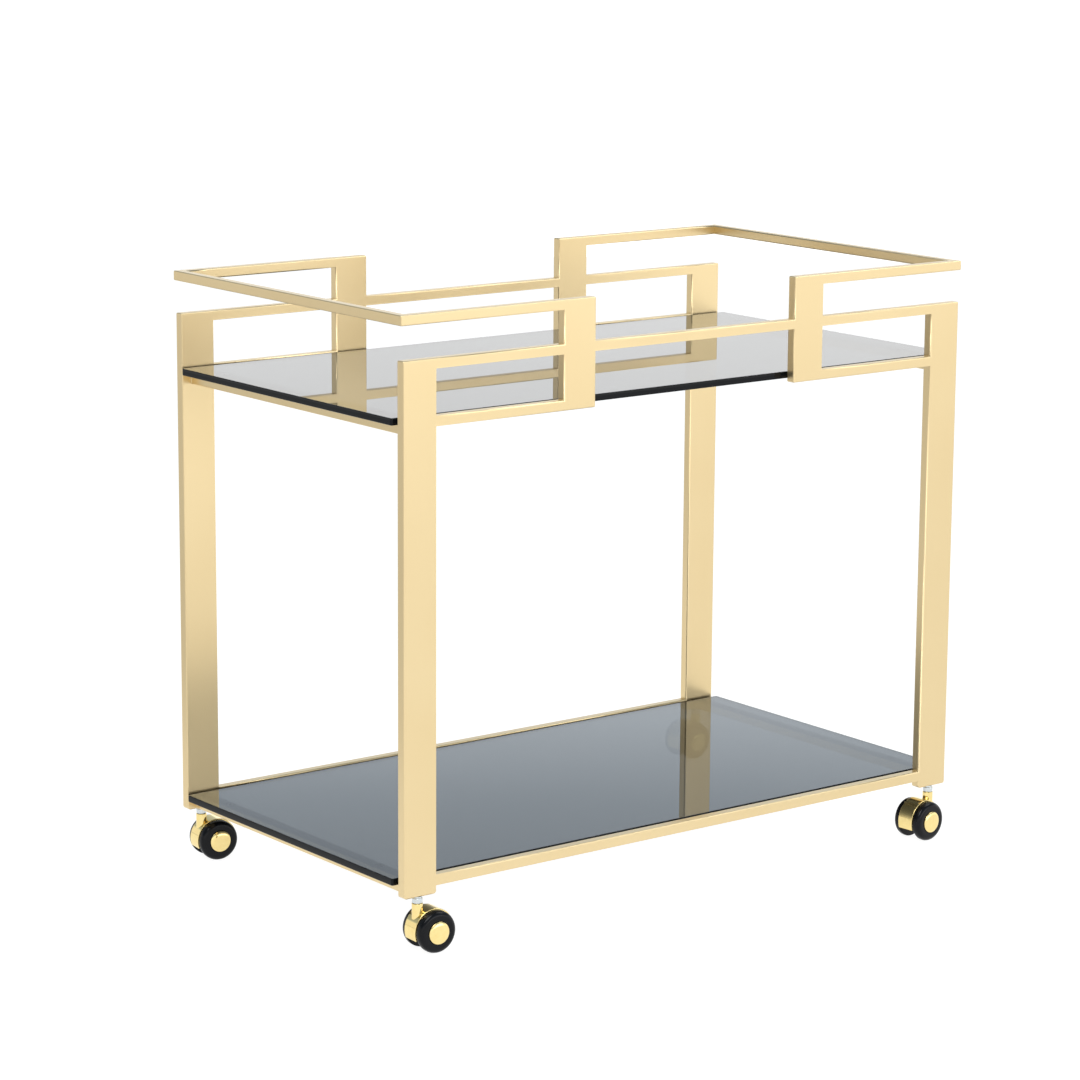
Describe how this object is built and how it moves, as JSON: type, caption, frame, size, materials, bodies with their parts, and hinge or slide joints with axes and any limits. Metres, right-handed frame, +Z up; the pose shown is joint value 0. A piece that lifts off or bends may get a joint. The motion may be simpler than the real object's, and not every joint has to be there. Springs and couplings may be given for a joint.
{
  "type": "bar cart",
  "caption": "Rolling bar cart: slim gold metal frame with raised gallery rails, two smoked-glass shelves and twin-wheel swivel casters.",
  "frame": {"origin": "on the floor, at the middle of the cart's bounding box", "axes": "+X along the cart, towards its right end; +Y from the front to the back; +Z up"},
  "size_m": [0.858, 0.5132, 0.741],
  "materials": {
    "satin_gold": "satin champagne-gold plating on welded and polished steel tube",
    "polished_gold": "bright gold plating on die-cast hoods and hub caps",
    "smoked_glass": "tempered smoked-grey glass with polished, nearly black edges",
    "zinc_steel": "bright zinc-plated steel",
    "axle_steel": "ground steel",
    "wheel_black": "glossy black moulded nylon"
  },
  "bodies": {
    "cart": {"leg_front_left": "satin_gold", "leg_front_right": "satin_gold", "leg_back_left": "satin_gold", "leg_back_right": "satin_gold", "post_front_left": "satin_gold", "post_front_right": "satin_gold", "post_back_left": "satin_gold", "post_back_right": "satin_gold", "mid_rail_front_left": "satin_gold", "mid_rail_front_centre": "satin_gold", "mid_rail_front_right": "satin_gold", "mid_rail_back_left": "satin_gold", "mid_rail_back_centre": "satin_gold", "mid_rail_back_right": "satin_gold", "shelf_rail_front_left": "satin_gold", "shelf_rail_front_right": "satin_gold", "shelf_rail_back_left": "satin_gold", "shelf_rail_back_right": "satin_gold", "bottom_rail_front": "satin_gold", "bottom_rail_back": "satin_gold", "gallery_bar_front_left": "satin_gold", "gallery_bar_front_right": "satin_gold", "gallery_bar_back_left": "satin_gold", "gallery_bar_back_right": "satin_gold", "gallery_end_left": "satin_gold", "gallery_end_right": "satin_gold", "cross_rail_upper_left": "satin_gold", "cross_rail_upper_right": "satin_gold", "cross_rail_lower_left": "satin_gold", "cross_rail_lower_right": "satin_gold", "glass_shelf_upper": "smoked_glass", "glass_shelf_lower": "smoked_glass", "caster_front_left_stem": "zinc_steel", "caster_front_right_stem": "zinc_steel", "caster_back_left_stem": "zinc_steel", "caster_back_right_stem": "zinc_steel"},
    "caster_front_left": {"caster_front_left_hood": "polished_gold", "caster_front_left_axle": "axle_steel"},
    "front_left_front_wheel": {"caster_front_left_wheel_front": "wheel_black", "caster_front_left_cap_front": "polished_gold"},
    "front_left_back_wheel": {"caster_front_left_wheel_back": "wheel_black", "caster_front_left_cap_back": "polished_gold"},
    "caster_front_right": {"caster_front_right_hood": "polished_gold", "caster_front_right_axle": "axle_steel"},
    "front_right_front_wheel": {"caster_front_right_wheel_front": "wheel_black", "caster_front_right_cap_front": "polished_gold"},
    "front_right_back_wheel": {"caster_front_right_wheel_back": "wheel_black", "caster_front_right_cap_back": "polished_gold"},
    "caster_back_left": {"caster_back_left_hood": "polished_gold", "caster_back_left_axle": "axle_steel"},
    "back_left_front_wheel": {"caster_back_left_wheel_front": "wheel_black", "caster_back_left_cap_front": "polished_gold"},
    "back_left_back_wheel": {"caster_back_left_wheel_back": "wheel_black", "caster_back_left_cap_back": "polished_gold"},
    "caster_back_right": {"caster_back_right_hood": "polished_gold", "caster_back_right_axle": "axle_steel"},
    "back_right_front_wheel": {"caster_back_right_wheel_front": "wheel_black", "caster_back_right_cap_front": "polished_gold"},
    "back_right_back_wheel": {"caster_back_right_wheel_back": "wheel_black", "caster_back_right_cap_back": "polished_gold"}
  },
  "joints": [
    {"name": "front_left_swivel", "type": "hinge", "parent": "cart", "child": "caster_front_left", "pos_m": [-0.402, -0.23175, 0.045], "axis": [0, 0, 1], "continuous": true},
    {"name": "front_left_front_wheel_spin", "type": "hinge", "parent": "caster_front_left", "child": "front_left_front_wheel", "pos_m": [-0.38602, -0.23259, 0.025], "axis": [0.0523, 0.9986, 0], "continuous": true},
    {"name": "front_left_back_wheel_spin", "type": "hinge", "parent": "caster_front_left", "child": "front_left_back_wheel", "pos_m": [-0.38602, -0.23259, 0.025], "axis": [0.0523, 0.9986, 0], "continuous": true},
    {"name": "front_right_swivel", "type": "hinge", "parent": "cart", "child": "caster_front_right", "pos_m": [0.402, -0.23175, 0.045], "axis": [0, 0, 1], "continuous": true},
    {"name": "front_right_front_wheel_spin", "type": "hinge", "parent": "caster_front_right", "child": "front_right_front_wheel", "pos_m": [0.38606, -0.23314, 0.025], "axis": [-0.0872, 0.9962, 0], "continuous": true},
    {"name": "front_right_back_wheel_spin", "type": "hinge", "parent": "caster_front_right", "child": "front_right_back_wheel", "pos_m": [0.38606, -0.23314, 0.025], "axis": [-0.0872, 0.9962, 0], "continuous": true},
    {"name": "back_left_swivel", "type": "hinge", "parent": "cart", "child": "caster_back_left", "pos_m": [-0.402, 0.23175, 0.045], "axis": [0, 0, 1], "continuous": true},
    {"name": "back_left_front_wheel_spin", "type": "hinge", "parent": "caster_back_left", "child": "back_left_front_wheel", "pos_m": [-0.38616, 0.22952, 0.025], "axis": [0.1392, 0.9903, 0], "continuous": true},
    {"name": "back_left_back_wheel_spin", "type": "hinge", "parent": "caster_back_left", "child": "back_left_back_wheel", "pos_m": [-0.38616, 0.22952, 0.025], "axis": [0.1392, 0.9903, 0], "continuous": true},
    {"name": "back_right_swivel", "type": "hinge", "parent": "cart", "child": "caster_back_right", "pos_m": [0.402, 0.23175, 0.045], "axis": [0, 0, 1], "continuous": true},
    {"name": "back_right_front_wheel_spin", "type": "hinge", "parent": "caster_back_right", "child": "back_right_front_wheel", "pos_m": [0.38606, 0.23036, 0.025], "axis": [-0.0872, 0.9962, 0], "continuous": true},
    {"name": "back_right_back_wheel_spin", "type": "hinge", "parent": "caster_back_right", "child": "back_right_back_wheel", "pos_m": [0.38606, 0.23036, 0.025], "axis": [-0.0872, 0.9962, 0], "continuous": true}
  ]
}
